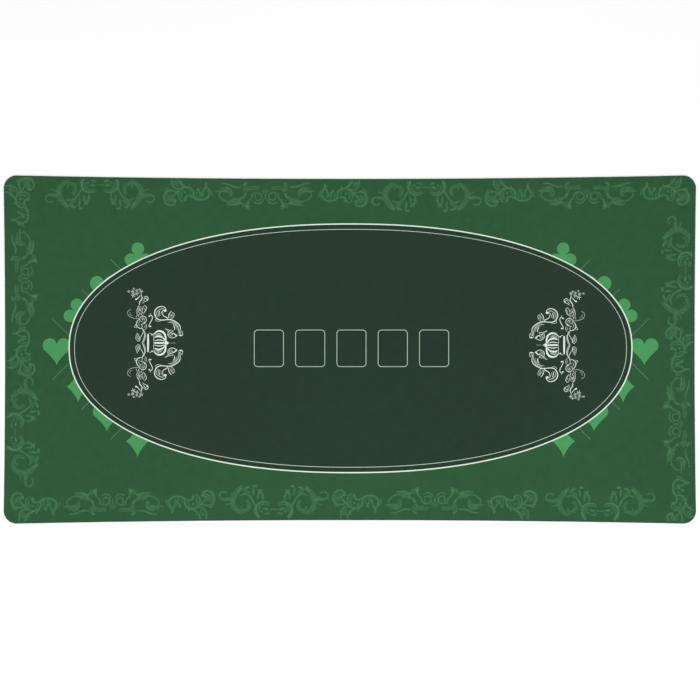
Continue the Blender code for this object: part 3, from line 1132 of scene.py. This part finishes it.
LONG_RUN = (
    ("P", 1, -650),
    ("K", 1, -429),
    ("C", 1, -220),
    ("K", -1, -10),
    ("P", 1, 199),
    ("K", 1, 408),
    ("C", 1, 617),
    ("K", -1, 827),
)
LONG_RUN_SHIFTED = tuple((kind, facing, at - 1) for kind, facing, at in LONG_RUN)
END_RUN = (("K", 1, -392), ("C", 1, -185), ("K", -1, 13), ("P", 1, 214))
END_RUN_SHIFTED = tuple((kind, facing, at - 9) for kind, facing, at in END_RUN)

# Each side of the border: the direction its motifs run in, the distance of the print's rim from
# the cut edge and how much that grows per millimetre along, and where the motifs lie along it
# from the side's middle, in millimetres. A minus one turns a motif to face the other way.
BORDER_SIDES = (
    ("back", 1, 6.9, 0.0028, LONG_RUN),
    ("front", -1, 13.6, 0.0, LONG_RUN_SHIFTED),
    ("left", -1j, 12.7, 0.0, END_RUN),
    ("right", 1j, 9.0, 0.0, END_RUN_SHIFTED),
)


def place_motif(marks, along, distance, depth):
    """Motif strokes set on the mat. A long side's strokes are reflected first, so that they too run
    inwards from the edge that the direction along leads past.
    """
    if along.imag:
        edge = HALF_LENGTH - SHORT_BOW * (1 - (distance * MM / HALF_WIDTH) ** 2)
        outward = along * -1j
    else:
        edge = HALF_WIDTH - LONG_BOW * (1 - (distance * MM / HALF_LENGTH) ** 2)
        outward = along * 1j
        marks = flipped(marks)
    return turned(marks, along, along * distance + outward * (edge / MM - depth))


def build_border():
    """The scrolled border: on each side the same three motifs take turns."""
    body_ink = printed("border_body_ink", BORDER_BODY, speckle=1.1)
    line_ink = printed("border_line_ink", BORDER_GREEN, speckle=0.7)
    motifs = {"P": volute_pair(), "C": cartouche(), "K": leaf_knot()}
    for side, along, depth, slope, run in BORDER_SIDES:
        layers = [], []
        for kind, facing, distance in run:
            for layer, marks in zip(layers, motifs[kind]):
                facing_marks = marks if facing > 0 else mirrored(marks)
                spot = depth + slope * distance
                layer += inside_cloth(place_motif(facing_marks, along, distance, spot))
        ink_film(f"border_{side}_bodies", layers[0], BODY_INK_TOP, body_ink)
        ink_film(f"border_{side}_lines", layers[1], FIELD_INK_TOP, line_ink)


def build_suits():
    """The suits and the lattice's hairlines round the oval's two ends."""
    outlines = []
    for shape, x, y in SUITS:
        for side in (-1, 1):
            outlines += shape(complex(x * side, y) + PRINT_CENTRE)
    patch_film("suit_marks", outlines, FIELD_INK_TOP, printed("suit_green_ink", SUIT_GREEN))
    marks = []
    for number in range(LATTICE_COUNT):
        tip = LATTICE_OUTER + number * LATTICE_STEP
        run = np.linspace(0, LATTICE_LINE_LENGTH, 8) * complex(-1, -1) / math.sqrt(2) + tip
        line = stroke(run, LATTICE_LINE_WIDTH)
        marks += [line, *mirrored([line]), *flipped([line]), *flipped(mirrored([line]))]
    lattice = turned(marks, 1, PRINT_CENTRE + LATTICE_SHIFT)
    ink_film("lattice_lines", lattice, FIELD_INK_TOP, printed("lattice_line_ink", LATTICE_GREEN))


def build_oval():
    """The dark betting oval and the two white lines that bound it."""
    patch_film("betting_oval", [oval_outline(0)], OVAL_TOP, printed("oval_print", OVAL_GREEN, 0.05))
    lines = (
        ("oval_outer_line", 0.0, OVAL_LINE_WIDTH, printed("white_line_ink", LINE_WHITE)),
        ("oval_inner_line", OVAL_LINE_GAP, OVAL_INNER_LINE_WIDTH, printed("fine_line_ink", FINE_WHITE)),
    )
    for name, gap, width, ink in lines:
        loop_film(name, oval_outline(gap + width / 2), oval_outline(gap - width / 2), ink)


def build_card_boxes():
    """Five round-cornered boxes for the shared cards, with a slightly cooler ground."""
    ground = printed("card_box_ground", CARD_GROUND, 0.05)
    ink = printed("card_line_ink", CARD_LINE)
    width, height = CARD_BOX
    for number in range(CARD_COUNT):
        middle = complex((number - (CARD_COUNT - 1) / 2) * CARD_PITCH + CARD_ROW_SHIFT, 0)
        inner, outer = (
            rounded_box(width + side, height + side, CARD_CORNER + side / 2) + middle + PRINT_CENTRE
            for side in (-CARD_LINE_WIDTH, CARD_LINE_WIDTH)
        )
        loop_film(f"card_box_line_{number + 1}", inner, outer, ink)
        patch_film(f"card_box_{number + 1}", [inner], CARD_GROUND_TOP, ground)


def build_crests():
    """A crest at each end of the oval, its crown pointing to the middle of the mat."""
    inks = (
        ("", crest(), TOP, printed("crest_ink", CREST_WHITE)),
        ("_shade", crest_shade(), SHADE_INK_TOP, printed("crest_shade_ink", CREST_SHADE, speckle=1.0)),
    )
    for ending, marks, top, ink in inks:
        left = turned(marks, 1, LEFT_CREST + PRINT_CENTRE)
        right = turned(mirrored(marks), 1, RIGHT_CREST + PRINT_CENTRE)
        ink_film(f"crest_left{ending}", left, top, ink)
        ink_film(f"crest_right{ending}", right, top, ink)


# ---------------------------------------------------------------- surroundings


def build_floor():
    """A wide plain floor just under the mat."""
    bpy.ops.mesh.primitive_plane_add(size=FLOOR_SIZE, location=(0, 0, -FLOOR_DROP))
    floor = bpy.context.object
    floor.name = "floor"
    floor.data.materials.append(floor_paint())


def build_lights():
    """A pale surround and one broad soft lamp overhead."""
    world = bpy.data.worlds.new("studio")
    bpy.context.scene.world = world
    world.use_nodes = True
    backdrop = world.node_tree.nodes["Background"]
    backdrop.inputs["Color"].default_value = (1.0, 1.0, 1.0, 1.0)
    backdrop.inputs["Strength"].default_value = BACKDROP_STRENGTH
    lamp = bpy.data.lights.new("softbox", "AREA")
    lamp.shape = "SQUARE"
    lamp.size = LAMP_SIZE
    lamp.energy = LAMP_WATTS
    holder = bpy.data.objects.new("softbox", lamp)
    holder.location = LAMP_PLACE
    holder.rotation_euler = (-holder.location).to_track_quat("-Z", "Y").to_euler()
    bpy.context.scene.collection.objects.link(holder)


def build_camera():
    """A long lens straight above the mat."""
    lens = bpy.data.cameras.new("camera")
    lens.lens = LENS
    lens.sensor_width = SENSOR
    camera = bpy.data.objects.new("camera", lens)
    camera.location = Vector((*VIEW_CENTRE, TOP + VIEW_WIDTH * LENS / SENSOR))
    bpy.context.scene.collection.objects.link(camera)
    bpy.context.scene.camera = camera


build_camera()
build_lights()
build_floor()
build_rubber()
dress_film()
build_cloth()
build_border()
build_suits()
build_oval()
build_card_boxes()
build_crests()
bpy.context.scene.view_settings.view_transform = "Standard"

bpy.context.view_layer.update()
